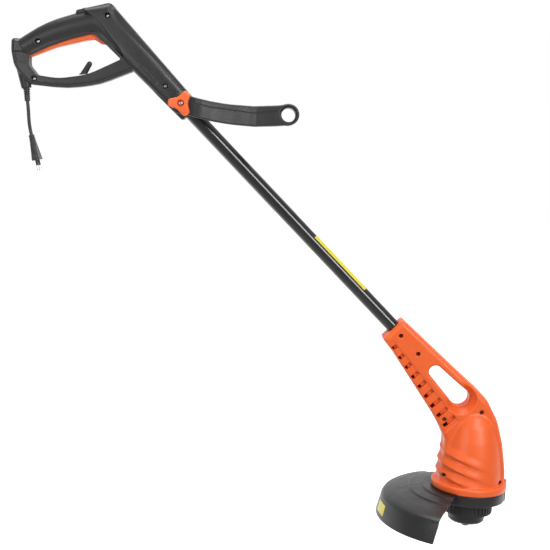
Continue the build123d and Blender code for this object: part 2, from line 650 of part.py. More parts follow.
# ---------------------------------------------------------------- write every piece
rear_right, rear_left = rear_handle()
head_right, head_left = head_housing()
PIECES = {
    "rear_handle_right": rear_right,
    "rear_handle_left": rear_left,
    "handle_screws": handle_screws(),
    "trigger": trigger(),
    "trigger_pin": cross_rod(*TRIGGER_PIVOT, PIN_R, -12, 12),
    "trigger_spring": trigger_spring(),
    "switch_body": switch_body(),
    "switch_plunger": switch_plunger(),
    "cord_clamp": cord_clamp(),
    "cord_hook": cord_hook(),
    "cord_boot": boot(),
    "power_cord": power_cord(),
    "cord_plug": cord_plug(),
    "plug_pins": plug_pins(),
    "shaft_tube": shaft_tube(),
    "shaft_label": shaft_label(),
    "supply_lead": supply_lead(),
    "motor_lead": motor_lead(),
    "front_handle": front_handle(),
    "clamp_knob": clamp_knob(),
    "clamp_bolt": clamp_bolt(),
    "clamp_nut": clamp_nut(),
    "head_housing_right": head_right,
    "head_housing_left": head_left,
    "head_screws": head_screws(),
    "motor_bracket": motor_bracket(),
    "bearing_bridge": upper_bearing_bridge(),
    "upper_bearing": bearing(-643, -634),
    "lower_bearing": bearing(-752, -743),
    "stator_core": stator_core(),
    "field_coils": field_coils(),
    "brush_holders": brush_holders(),
    "carbon_brushes": carbon_brushes(),
    "armature_shaft": armature_shaft(),
    "armature_core": armature_core(),
    "armature_windings": armature_windings(),
    "commutator": commutator(),
    "cooling_fan": cooling_fan(),
    "guard": guard(),
    "guard_screws": guard_screws(),
    "guard_label": guard_label(),
    "line_cutter": line_cutter(),
    "cutter_screws": cutter_screws(),
    "spool_cup": spool_cup(),
    "spool_cap": spool_cap(),
    "line_eyelets": line_eyelets(),
    "spool": spool(),
    "line_winding": line_winding(),
    "spool_spring": spool_spring(),
    "bump_button": bump_button(),
}

os.makedirs("parts", exist_ok=True)
for name, shape in PIECES.items():
    export_step(shape, f"parts/{name}.step")
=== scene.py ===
import json
import math

import bmesh
import bpy
import numpy as np
from mathutils import Matrix, Vector


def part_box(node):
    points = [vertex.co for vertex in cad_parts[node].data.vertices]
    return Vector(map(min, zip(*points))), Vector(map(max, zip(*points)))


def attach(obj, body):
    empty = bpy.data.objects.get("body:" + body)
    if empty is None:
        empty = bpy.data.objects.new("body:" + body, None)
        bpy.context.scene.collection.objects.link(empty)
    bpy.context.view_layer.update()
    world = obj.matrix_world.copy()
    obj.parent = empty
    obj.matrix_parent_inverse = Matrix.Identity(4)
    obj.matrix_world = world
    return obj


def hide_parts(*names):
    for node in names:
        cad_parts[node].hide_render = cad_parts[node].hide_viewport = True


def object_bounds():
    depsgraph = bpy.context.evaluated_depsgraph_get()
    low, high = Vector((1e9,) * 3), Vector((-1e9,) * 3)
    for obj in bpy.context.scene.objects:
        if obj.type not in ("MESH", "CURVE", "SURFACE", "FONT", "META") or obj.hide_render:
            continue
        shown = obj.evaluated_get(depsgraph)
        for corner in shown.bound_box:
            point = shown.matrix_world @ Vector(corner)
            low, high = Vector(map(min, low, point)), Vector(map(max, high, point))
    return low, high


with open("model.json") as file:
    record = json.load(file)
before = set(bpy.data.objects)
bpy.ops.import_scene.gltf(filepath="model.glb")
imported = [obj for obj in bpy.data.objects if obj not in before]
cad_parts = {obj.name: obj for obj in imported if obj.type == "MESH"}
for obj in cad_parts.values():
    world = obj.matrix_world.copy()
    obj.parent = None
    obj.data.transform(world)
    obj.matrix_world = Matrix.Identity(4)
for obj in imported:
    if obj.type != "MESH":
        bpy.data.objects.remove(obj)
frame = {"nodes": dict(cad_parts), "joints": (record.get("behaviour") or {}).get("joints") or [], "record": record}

# String trimmer. Shapes are drawn in millimetres in the row's frame and scaled by MM when they become
# meshes. Casings are distance fields, negative inside, which surface nets turn into closed meshes.
MM = 0.001
NODES = frame["nodes"]
CAD_LOW, CAD_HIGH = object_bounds()


# ---------------------------------------------------------------- places read from the frame
def joint(name):
    return next(j for j in frame["joints"] if j["name"] == name)


PIVOT = Vector(joint("front_handle_tilt")["pos_m"]) / MM
AXIS_X = joint("rotor_spin")["pos_m"][0] / MM
TRIGGER_PIN = Vector(joint("trigger_pull")["pos_m"]) / MM
GRIP_BORE = Vector(next(m for m in frame["record"]["mounts"] if m["name"] == "front_grip")["pos_m"]) / MM
SLOPE = math.radians(43.3)      # the shaft runs forward and down at this angle
TUBE_R = 12.5


def on_shaft(along, across=0.0):
    """Side-view point: along is measured down the shaft from the clamp bolt, across up and forward."""
    return (PIVOT.x + along * math.cos(SLOPE) + across * math.sin(SLOPE),
            PIVOT.z - along * math.sin(SLOPE) + across * math.cos(SLOPE))


def at_shaft(along, across, radius):
    return (*on_shaft(along, across), radius)


# ---------------------------------------------------------------- distance fields
class Grid:
    """Sample points over a box; y counts outwards from the dividing plane for mirrored shells."""

    def __init__(self, low, high, step):
        self.low, self.step = np.array(low, float), step
        axes = [np.arange(a, b + step, step, dtype=np.float32) for a, b in zip(low, high)]
        self.x, self.y, self.z = axes[0][:, None, None], axes[1][None, :, None], axes[2][None, None, :]
        rise, run = math.sin(SLOPE), math.cos(SLOPE)
        self.along = (self.x - PIVOT.x) * run - (self.z - PIVOT.z) * rise
        self.across = (self.x - PIVOT.x) * rise + (self.z - PIVOT.z) * run

    def outline(self, corners):
        return polygon_field(rounded(corners), self.x, self.z)

    def away(self, x, z):
        """Distance to a line across the trimmer, such as a screw's or a pin's."""
        return np.hypot(self.x - x, self.z - z)

    def off_shaft(self):
        """Distance to the shaft's own axis."""
        return np.hypot(self.across, self.y)


def rounded(corners, step=math.radians(7)):
    """Outline points of a polygon whose corners (x, z, radius) are rounded off by arcs."""
    points = []
    places = [np.array(c[:2], float) for c in corners]
    for i, (_, _, radius) in enumerate(corners):
        here, before, after = places[i], places[i - 1], places[(i + 1) % len(places)]
        back, on = before - here, after - here
        back, on = back / np.linalg.norm(back), on / np.linalg.norm(on)
        half = math.acos(np.clip(-back @ on, -1, 1)) / 2
        middle = here + (back + on) / np.linalg.norm(back + on) * radius / math.cos(half)
        start, end = here + back * radius * math.tan(half), here + on * radius * math.tan(half)
        a, b = (math.atan2(*(p - middle)[::-1]) for p in (start, end))
        turn = (b - a + math.pi) % (2 * math.pi) - math.pi
        count = max(2, int(abs(turn) / step) + 1)
        for k in range(count + 1):
            angle = a + turn * k / count
            points.append(middle + radius * np.array([math.cos(angle), math.sin(angle)]))
    return np.array(points)


def polygon_field(points, x, z):
    """Signed distance to a closed outline, negative inside."""
    nearest = np.full(np.broadcast(x, z).shape, 1e12, np.float32)
    inside = np.zeros(nearest.shape, bool)
    for (ax, az), (bx, bz) in zip(points, np.roll(points, -1, axis=0)):
        ex, ez = bx - ax, bz - az
        if ex * ex + ez * ez < 1e-12:
            continue
        t = np.clip(((x - ax) * ex + (z - az) * ez) / (ex * ex + ez * ez), 0, 1)
        nearest = np.minimum(nearest, (x - ax - t * ex) ** 2 + (z - az - t * ez) ** 2)
        if ez:
            inside ^= ((az <= z) != (bz <= z)) & (x < ax + (z - az) * ex / ez)
    return np.where(inside, -1, 1) * np.sqrt(nearest)


def line_field(points, x, z):
    """Distance to an open line of points."""
    nearest = np.full(np.broadcast(x, z).shape, 1e12, np.float32)
    for (ax, az), (bx, bz) in zip(points[:-1], points[1:]):
        ex, ez = bx - ax, bz - az
        t = np.clip(((x - ax) * ex + (z - az) * ez) / (ex * ex + ez * ez), 0, 1)
        nearest = np.minimum(nearest, (x - ax - t * ex) ** 2 + (z - az - t * ez) ** 2)
    return np.sqrt(nearest)


def swell(grid, upper, lower, half, power):
    """Field of a long body between two side-view lines whose cross-section is a superellipse, half deep in y."""
    top, bottom = line_field(upper, grid.x, grid.z), line_field(lower, grid.x, grid.z)
    across = np.clip(np.abs(bottom - top) / (bottom + top + 0.01), 0, 1.2)
    shape = (across ** power + np.abs(grid.y / half) ** power) ** (1 / power) - 1
    slopes = np.gradient(shape, grid.step)
    steep = np.sqrt(sum(v * v for v in slopes))
    return np.clip(shape / np.maximum(steep, 1 / 60), -6, 6)


def plate(side, depth, radius, stretch=1.0):
    """Solid of a side-view field and a depth field, its long edges rounded; stretch widens the rounding in y."""
    a, b = side + radius, (depth + radius * stretch) / stretch
    return np.minimum(np.maximum(a, b), 0) + np.hypot(np.maximum(a, 0), np.maximum(b, 0)) - radius


def join(a, b, soft=0.0):
    if not soft:
        return np.minimum(a, b)
    h = np.clip(0.5 + 0.5 * (b - a) / soft, 0, 1)
    return b * (1 - h) + a * h - soft * h * (1 - h)


def cut(a, b, soft=0.0):
    return -join(-a, b, soft)


def smooth_step(value, low, high):
    t = np.clip((value - low) / (high - low), 0, 1)
    return t * t * (3 - 2 * t)


def eased(value, places, heights, width):
    """Piecewise-linear curve through the places, its kinks eased out over the width."""
    shifts = np.linspace(-1, 1, 15)
    weights = (1 - np.abs(shifts) * 0.95) / np.sum(1 - np.abs(shifts) * 0.95)
    return sum(w * np.interp(value + width * d, places, heights) for d, w in zip(shifts, weights))


def bar(grid, start, end, radius, radius_end=None):
    """Field of a round bar or cone between two points, with flat ends."""
    start, end = np.array(start, float), np.array(end, float)
    length = np.linalg.norm(end - start)
    ux, uy, uz = (end - start) / length
    px, py, pz = grid.x - start[0], grid.y - start[1], grid.z - start[2]
    t = px * ux + py * uy + pz * uz
    away = np.sqrt((px - t * ux) ** 2 + (py - t * uy) ** 2 + (pz - t * uz) ** 2)
    wide = radius if radius_end is None else radius + (radius_end - radius) * np.clip(t / length, 0, 1)
    return np.maximum(away - wide, np.maximum(-t, t - length))


CORNERS = np.array([(i, j, k) for i in (0, 1) for j in (0, 1) for k in (0, 1)])


def sample(field, places):
    """Trilinear value and slope of a field at places counted in cells."""
    cell = np.clip(places.astype(int), 0, np.array(field.shape) - 2)
    f = places - cell
    value, slope = np.zeros(len(places)), np.zeros((len(places), 3))
    for corner in CORNERS:
        at = field[tuple((cell + corner).T)]
        w = np.where(corner, f, 1 - f)
        s = np.where(corner, 1, -1)
        value += at * w.prod(1)
        slope += at[:, None] * s * np.stack([w[:, 1] * w[:, 2], w[:, 0] * w[:, 2], w[:, 0] * w[:, 1]], 1)
    return value, slope


def surface_nets(field):
    """Closed quad mesh of the field's zero surface, in cells."""
    field = np.pad(field, 1, constant_values=1.0)
    inside = field < 0
    shape = np.array(field.shape) - 1
    count = np.zeros(shape, np.int8)
    for i, j, k in CORNERS:
        count += inside[i:i + shape[0], j:j + shape[1], k:k + shape[2]]
    cells = np.argwhere((count > 0) & (count < 8))
    index = np.full(shape, -1, np.int64)
    index[tuple(cells.T)] = np.arange(len(cells))
    total, hits = np.zeros((len(cells), 3)), np.zeros(len(cells))
    for a in range(8):
        for b in range(a + 1, 8):
            if np.abs(CORNERS[a] - CORNERS[b]).sum() != 1:
                continue
            fa = field[tuple((cells + CORNERS[a]).T)]
            fb = field[tuple((cells + CORNERS[b]).T)]
            crosses = (fa < 0) != (fb < 0)
            t = np.where(crosses, fa / np.where(crosses, fa - fb, 1), 0)
            total += crosses[:, None] * (CORNERS[a] + t[:, None] * (CORNERS[b] - CORNERS[a]))
            hits += crosses
    places = cells + total / hits[:, None]
    for _ in range(2):
        value, slope = sample(field, places)
        steep = np.maximum((slope ** 2).sum(1), 0.05)
        places -= np.clip(slope * (value / steep)[:, None], -0.3, 0.3)
    quads = []
    for axis in range(3):
        ahead = np.eye(3, dtype=int)[axis]
        one, two = np.eye(3, dtype=int)[(axis + 1) % 3], np.eye(3, dtype=int)[(axis + 2) % 3]
        low = tuple(slice(0, n - a) for n, a in zip(field.shape, ahead))
        high = tuple(slice(a, n) for n, a in zip(field.shape, ahead))
        edges = np.argwhere(inside[low] != inside[high])
        ring = [index[tuple((edges - shift).T)] for shift in (one + two, two, one * 0, one)]
        faces = np.stack(ring, 1)
        flip = ~inside[tuple(edges.T)]
        faces[flip] = faces[flip][:, ::-1]
        quads.append(faces)
    return places - 1, np.concatenate(quads)


# ---------------------------------------------------------------- meshes
def finish_piece(name, body, material, nodes=()):
    """Hand a new piece to its body, its material and the CAD nodes that it stands for."""
    piece = bpy.data.objects[name]
    piece.data.materials.append(material)
    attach(piece, body)
    if nodes:
        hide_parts(*nodes)
    return piece


def link_mesh(name, mesh):
    piece = bpy.data.objects.new(name, mesh)
    bpy.context.scene.collection.objects.link(piece)
    return piece


def shade_smooth(mesh):
    mesh.polygons.foreach_set("use_smooth", np.ones(len(mesh.polygons), bool))


def carve(name, grid, field, mirror=1):
    """Mesh object of a field; mirror -1 puts the shell on the other side of the dividing plane."""
    places, quads = surface_nets(field.astype(np.float32))
    points = (grid.low + places * grid.step) * MM
    points[:, 1] *= mirror
    if mirror > 0:
        quads = quads[:, ::-1]
    mesh = bpy.data.meshes.new(name)
    mesh.vertices.add(len(points))
    mesh.vertices.foreach_set("co", points.astype(np.float32).ravel())
    mesh.loops.add(quads.size)
    mesh.loops.foreach_set("vertex_index", quads.astype(np.int32).ravel())
    mesh.polygons.add(len(quads))
    mesh.polygons.foreach_set("loop_start", np.arange(0, quads.size, 4, dtype=np.int32))
    mesh.polygons.foreach_set("loop_total", np.full(len(quads), 4, np.int32))
    shade_smooth(mesh)
    mesh.update(calc_edges=True)
    return link_mesh(name, mesh)


# ---------------------------------------------------------------- materials
def linear(red, green, blue):
    """Linear colour of an sRGB colour counted from 0 to 255."""
    return tuple((v / 255 / 12.92 if v < 10.3 else ((v / 255 + 0.055) / 1.055) ** 2.4) for v in (red, green, blue))


class Shader:
    """A principled material built from procedural textures in the row's frame."""

    def __init__(self, name, colour, rough, **constants):
        self.material = bpy.data.materials.new(name)
        self.material.use_nodes = True
        self.tree = self.material.node_tree
        self.surface = self.tree.nodes["Principled BSDF"]
        self.surface.inputs["Base Color"].default_value = (*colour, 1)
        self.surface.inputs["Roughness"].default_value = rough
        for socket, value in constants.items():
            self.surface.inputs[socket.replace("_", " ")].default_value = value
        self.place = self.add("ShaderNodeTexCoord").outputs["Object"]
        self.normal = None

    def add(self, kind, inputs=None, **settings):
        node = self.tree.nodes.new(kind)
        for key, value in settings.items():
            setattr(node, key, value)
        for key, value in (inputs or {}).items():
            if isinstance(value, bpy.types.NodeSocket):
                self.tree.links.new(value, node.inputs[key])
            else:
                node.inputs[key].default_value = value
        return node

    def noise(self, scale, detail=3.0, stretch=None, rough=0.55):
        """Noise with features about 1 / scale metres across."""
        place = self.place
        if stretch:
            place = self.add("ShaderNodeMapping", {"Vector": place, "Scale": stretch}).outputs["Vector"]
        return self.add("ShaderNodeTexNoise", {
            "Vector": place, "Scale": scale, "Detail": detail, "Roughness": rough}).outputs["Fac"]

    def spread(self, value, low, high, to_low=0.0, to_high=1.0):
        return self.add("ShaderNodeMapRange", {
            "Value": value, "From Min": low, "From Max": high, "To Min": to_low, "To Max": to_high}).outputs["Result"]

    def math(self, operation, a, b):
        return self.add("ShaderNodeMath", {0: a, 1: b}, operation=operation).outputs[0]

    def mix(self, fac, one, two):
        node = self.add("ShaderNodeMix", {"Factor": fac}, data_type="RGBA")
        for socket, value in (("A", one), ("B", two)):
            target = next(s for s in node.inputs if s.name == socket and s.type == "RGBA")
            if isinstance(value, bpy.types.NodeSocket):
                self.tree.links.new(value, target)
            else:
                target.default_value = (*value, 1)
        return next(s for s in node.outputs if s.type == "RGBA")

    def bump(self, height, distance, strength=1.0):
        node = self.add("ShaderNodeBump", {"Height": height, "Distance": distance, "Strength": strength})
        if self.normal:
            self.tree.links.new(self.normal, node.inputs["Normal"])
        self.normal = node.outputs["Normal"]
        self.tree.links.new(self.normal, self.surface.inputs["Normal"])
        return self

    def wire(self, socket, value):
        self.tree.links.new(value, self.surface.inputs[socket])
        return self

    def edges(self, low=0.52, high=0.62):
        """1 along convex edges, 0 elsewhere."""
        return self.spread(self.add("ShaderNodeNewGeometry").outputs["Pointiness"], low, high)


def moulded(name, colour, pale, rough, grain=2400, depth=0.00005, highlight_strength=0.25, **constants):
    """Moulded plastic: fine spark-eroded grain, slow colour drift, polish where hands rub, and a painted highlight:
    paler colour along convex edges.
    """
    s = Shader(name, colour, rough, **constants)
    drift = s.noise(14, 4)
    fine = s.noise(grain, 2)
    smear = s.noise(55, 5, stretch=(1, 1.6, 0.6))
    tone = s.mix(s.spread(drift, 0.35, 0.65, 0.0, 0.35), colour, pale)
    # Painted highlight: convex edges are mixed towards the paler colour in noisy patches, standing in for light
    # catching the edges.
    edge_highlight = s.math("MULTIPLY", s.edges(), s.spread(s.noise(260, 4), 0.4, 0.65, 0.0, highlight_strength))
    s.wire("Base Color", s.mix(edge_highlight, tone, pale))
    s.wire("Roughness", s.math("ADD", s.spread(smear, 0.3, 0.7, rough - 0.05, rough + 0.06),
                               s.spread(fine, 0.3, 0.7, -0.03, 0.03)))
    s.bump(fine, depth).bump(s.noise(38, 3), 0.0004, 0.35)
    return s.material


def metal(name, colour, rough, stretch=(1, 1, 1), scale=1800, tarnish=0.6, depth=0.00002):
    """Bright metal with drawn or turned lines and dull patches."""
    s = Shader(name, colour, rough, Metallic=1.0)
    lines = s.noise(scale, 3, stretch=stretch)
    patch = s.noise(180, 5)
    s.wire("Base Color", s.mix(s.spread(patch, 0.42, 0.68, 0.0, 1.0), colour, tuple(v * tarnish for v in colour)))
    s.wire("Roughness", s.math("ADD", s.spread(lines, 0.3, 0.7, rough - 0.08, rough + 0.08),
                               s.spread(patch, 0.4, 0.7, 0.0, 0.12)))
    s.bump(lines, depth)
    return s.material


BLACK = (0.018, 0.018, 0.0185)
BLACK_PALE = (0.034, 0.034, 0.035)
satin = moulded("satin_black_casing", BLACK, BLACK_PALE, 0.35)
satin_fine = moulded("satin_black_grip", BLACK, BLACK_PALE, 0.38, grain=3200, depth=0.00001, highlight_strength=0.1)
guard_skin = moulded("black_guard_plastic", (0.011, 0.011, 0.0115), (0.024, 0.024, 0.025), 0.38, grain=1700,
                     depth=0.00005, highlight_strength=0.35)
black_trim = moulded("black_ribbed_plastic", (0.012, 0.012, 0.0125), (0.026, 0.026, 0.027), 0.42, grain=2600)
orange = moulded("orange_plastic", linear(227, 91, 30), linear(234, 103, 44), 0.38, grain=2600, depth=0.000025,
                 highlight_strength=0.2)
orange_trigger = moulded("orange_trigger_plastic", linear(236, 98, 36), linear(244, 116, 60), 0.38, grain=3000,
                         depth=0.00002, highlight_strength=0.2)


def paint():
    """Gloss stove paint on a drawn tube: orange peel, a few dust nibs, faint lengthwise drift."""
    s = Shader("gloss_black_paint", (0.006, 0.006, 0.0062), 0.16, Coat_Weight=0.4, Coat_Roughness=0.06)
    peel = s.noise(520, 2)
    nibs = s.add("ShaderNodeTexVoronoi", {"Vector": s.place, "Scale": 160.0}).outputs["Distance"]
    s.wire("Base Color", s.mix(s.spread(s.noise(30, 4), 0.35, 0.7), (0.011, 0.011, 0.0112), (0.018, 0.018, 0.0185)))
    s.wire("Roughness", s.spread(s.noise(90, 5), 0.3, 0.7, 0.14, 0.22))
    s.bump(peel, 0.00001, 0.5).bump(s.spread(nibs, 0.0, 0.06, 1.0, 0.0), 0.00001, 0.4)
    return s.material


def film(name, colour, pale):
    """Printed film label, left blank: slight ripple and paler patches."""
    s = Shader(name, colour, 0.34)
    s.wire("Base Color", s.mix(s.spread(s.noise(420, 5), 0.35, 0.7, 0.0, 0.8), colour, pale))
    s.wire("Roughness", s.spread(s.noise(150, 4), 0.3, 0.7, 0.26, 0.45))
    s.bump(s.noise(110, 3), 0.00012, 0.5).bump(s.noise(2600, 2), 0.00001)
    return s.material


def rubber():
    s = Shader("cord_rubber", (0.016, 0.016, 0.0165), 0.52, Sheen_Weight=0.15)
    s.wire("Base Color", s.mix(s.spread(s.noise(120, 5), 0.4, 0.7), (0.014, 0.014, 0.0145), (0.040, 0.039, 0.038)))
    s.wire("Roughness", s.spread(s.noise(300, 4), 0.3, 0.7, 0.42, 0.62))
    s.bump(s.noise(1800, 3), 0.00004, 0.7)
    return s.material


def laminated():
    """Stacked electrical steel: sheet edges show as fine rings across the motor's axis."""
    s = Shader("lamination_steel", (0.30, 0.30, 0.31), 0.42, Metallic=1.0)
    layers = s.add("ShaderNodeTexWave", {"Vector": s.place, "Scale": 620.0, "Distortion": 0.4},
                   bands_direction="Z").outputs["Fac"]
    s.wire("Base Color", s.mix(layers, (0.17, 0.17, 0.18), (0.42, 0.42, 0.43)))
    s.bump(layers, 0.00008)
    return s.material


def wound(name, colour, dark, direction, turns):
    """Enamelled wire or line laid in rows."""
    s = Shader(name, colour, 0.32, Coat_Weight=0.3, Coat_Roughness=0.1)
    rows = s.add("ShaderNodeTexWave", {"Vector": s.place, "Scale": turns, "Distortion": 1.2},
                 bands_direction=direction).outputs["Fac"]
    s.wire("Base Color", s.mix(rows, dark, colour))
    s.bump(rows, 0.0003)
    return s.material


def pin_finish():
    """Nickel contact; the half next to the plug wears a dark moulded sleeve."""
    s = Shader("plated_pin", (0.74, 0.73, 0.71), 0.2, Metallic=1.0)
    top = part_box("plug_pins")[1].z
    depth = s.add("ShaderNodeSeparateXYZ", {"Vector": s.place}).outputs["Z"]
    bare = s.spread(depth, top - 0.0098, top - 0.0094, 1.0, 0.0)
    s.wire("Base Color", s.mix(bare, BLACK, (0.74, 0.73, 0.71)))
    s.wire("Metallic", bare)
    s.wire("Roughness", s.math("ADD", s.spread(bare, 0, 1, 0.42, 0.16), s.spread(s.noise(900, 3), 0.3, 0.7, 0, 0.1)))
    s.bump(s.noise(2400, 2), 0.00001)
    return s.material


shaft_paint, cord_rubber = paint(), rubber()
yellow = film("yellow_label", linear(204, 190, 40), linear(216, 204, 80))
FINISHES = {
    "black_casing": satin, "orange_plastic": orange, "guard_plastic": guard_skin, "black_parts": black_trim,
    "shaft_paint": shaft_paint, "yellow_label": yellow, "cord_rubber": cord_rubber,
    "screw_steel": metal("zinc_screw", (0.56, 0.57, 0.58), 0.3, scale=900),
    "dark_screw": metal("blackened_screw", (0.075, 0.073, 0.07), 0.42, scale=900, tarnish=1.8),
    "plated_pin": pin_finish(),
    "cast_metal": metal("pressed_metal", (0.60, 0.60, 0.61), 0.38, scale=420, depth=0.00006),
    "lamination": laminated(),
    "copper": wound("enamelled_copper", (0.62, 0.20, 0.06), (0.20, 0.055, 0.02), "Z", 420.0),
    "carbon": moulded("pressed_carbon", (0.012, 0.012, 0.013), (0.03, 0.03, 0.031), 0.6, grain=1400, depth=0.0001),
    "line_nylon": wound("wound_line", (0.62, 0.62, 0.56), (0.30, 0.30, 0.27), "Z", 300.0),
}
for part in frame["record"]["subparts"]:
    node = NODES[part["node"]]
    node.data.materials.clear()
    node.data.materials.append(FINISHES[part["material_slot"]])
    shade_smooth(node.data)
for name in ("trigger", "clamp_knob"):
    NODES[name].data.materials[0] = orange_trigger


# ---------------------------------------------------------------- cord
CORD_POINTS = [(-60.4, 0, -114.6), (-58.4, 0, -129.0), (-57.3, 0, -145.0), (-55.2, 0, -160.5), (-51.9, 0, -173.0)]
CORD_R = 3.0


def lead():
    """Mains lead from the boot to the plug, hanging slightly curved."""
    line = bpy.data.curves.new("mains_cord", "CURVE")
    line.dimensions = "3D"
    line.bevel_depth, line.bevel_resolution, line.resolution_u = CORD_R * MM, 8, 24
    spline = line.splines.new("NURBS")
    spline.points.add(len(CORD_POINTS) - 1)
    for point, (x, y, z) in zip(spline.points, CORD_POINTS):
        point.co = (x * MM, y * MM, z * MM, 1)
    spline.order_u, spline.use_endpoint_u = 3, True
    cord = link_mesh("mains_cord", line)
    finish_piece("mains_cord", "casing", cord_rubber, ("power_cord",))


lead()


# ---------------------------------------------------------------- head housing
NECK_CORNERS = [
    at_shaft(545, 21.5, 4), (763, -580, 60), (787, -603, 40), (807, -640, 80), (820, -684, 80), (828, -731, 60),
    (829, -757, 2), (709, -757, 2), (714, -700, 30), (714, -676, 15), (704, -655, 40), (687, -628, 100),
    (609, -521, 30), at_shaft(545, -28, 4),
]
RIB_CORNERS = [
    (640, -478.4, 1), (763.5, -579, 60), (788, -602, 40), (810, -640, 80), (823, -684, 80), (831, -731, 60),
    (833, -757, 2), (790, -757, 2), (780, -700, 60), (755, -620, 30), (640, -490, 1),
]
DOME = [(60, -757), (58, -731), (54.5, -700), (49.5, -675), (41.5, -648), (30, -627), (20, -620), (0, -616)]
HEAD_FOOT = -757.0              # lower end of the dome, inside the flange
FLANGE_R, FLANGE_TOP, FLANGE_BOTTOM = 68.5, -753.0, -767.0
BOSS_X, BOSS_R = 831, 6.5       # screw boss at the front of the flange and of the guard's plate
NECK_HALF, WALL = 27, 3.0
HEAD_SCREWS = [(621, -490, 20), (654, -521, 20), (776, -621, 22), (710, -638, 20), (716, -739, 26), (818, -748, 12)]
RIDGES = [(-694, 4.8), (-715, 5.0), (-735, 4.6)]        # height at the back, and how proud
WINDOW_TOP, WINDOW_FOOT = 654, 721                      # ends of the carrying hole's middle line, down the shaft
DISH_R = 29.2
VENTS, VENT_START, VENT_PITCH, VENT_HALF = 9, 570, 20.9, 3.6
PANEL_Y, VENT_Y, BACKING_Y = 25.5, 20.0, 15.2           # sunk panel, groove floors and the solid behind them
SEAM = 0.03                                             # half the gap between two casing halves


def seam_groove(grid, field, deep=0.45, wide=0.9):
    """The casing halves' small chamfers, which show as a line where they meet."""
    return field + deep * np.clip(1 - np.abs(grid.y) / wide, 0, 1)


def dome_field(grid):
    """Motor dome with three swept rolls, strongest at the back and fading towards the front."""
    ahead = grid.x - AXIS_X
    away = np.hypot(ahead, grid.y)
    radius = eased(grid.z, [z for r, z in DOME], [r for r, z in DOME], 7.0)
    base = radius
    turn = np.arctan2(np.abs(grid.y), -ahead) / (math.pi / 2)
    fade = 1 - smooth_step(turn, 0.45, 1.45)
    for top, proud in RIDGES:
        crest = top - 19 * np.clip(turn, 0, 2) ** 1.6
        over = np.clip((grid.z - crest) / 15.0, 0, 1)
        under = np.clip((crest - grid.z) / 5.0, 0, 1)
        roll = np.where(grid.z > crest, (1 - over ** 1.6) ** 2, (1 - under ** 2) ** 1.5)
        radius = radius + proud * roll * fade * (grid.z > FLANGE_TOP - 8)
    lean = np.cos(np.arctan(np.abs(np.gradient(base[0, 0], grid.step))))[None, None, :]
    return np.maximum((away - radius) * lean, HEAD_FOOT - grid.z)


def window_field(grid):
    """Side-view distance to the carrying hole, and the dish round its lower lobe."""
    (ax, az), (bx, bz) = on_shaft(WINDOW_TOP), on_shaft(WINDOW_FOOT)
    length = math.hypot(bx - ax, bz - az)
    t = np.clip(((grid.x - ax) * (bx - ax) + (grid.z - az) * (bz - az)) / length ** 2, 0, 1)
    hole = np.hypot(grid.x - ax - t * (bx - ax), grid.z - az - t * (bz - az)) - (12.0 + 5.2 * t)
    lobe = grid.away(bx, bz)
    deep = 13.0 * np.clip((29 - lobe) / 12.0, 0, 1.3) ** 0.8 * smooth_step(grid.along, 694, 724)
    return hole, np.maximum(NECK_HALF - deep - grid.y, lobe - DISH_R) * 0.75


def vent_fields(grid):
    """Sunk panel, the solid behind it, and slanted grooves whose floors drop into the housing at their lower ends."""
    area = np.maximum(grid.across - (-16.2 - 0.076 * (grid.along - 562)), 557.5 - grid.along)
    area = np.maximum(area, grid.along - 748)
    panel, backing = np.maximum(area, PANEL_Y - grid.y), np.maximum(area, BACKING_Y - grid.y)
    grooves = None
    for i in range(VENTS):
        middle, upper, lower = VENT_START + VENT_PITCH * i, -18.6 - 1.5 * i, -27 - 3.7 * i
        t = np.clip((upper - grid.across) / (upper - lower), 0, 1)
        floor = VENT_Y - 1.4 * t - 9 * smooth_step(t, 0.66, 0.74)
        ends = np.maximum(grid.across - upper, lower - grid.across)
        groove = np.maximum(np.maximum(np.abs(grid.along - middle) - VENT_HALF, ends), floor - grid.y)
        grooves = groove if grooves is None else np.minimum(grooves, groove)
    return panel, backing, grooves


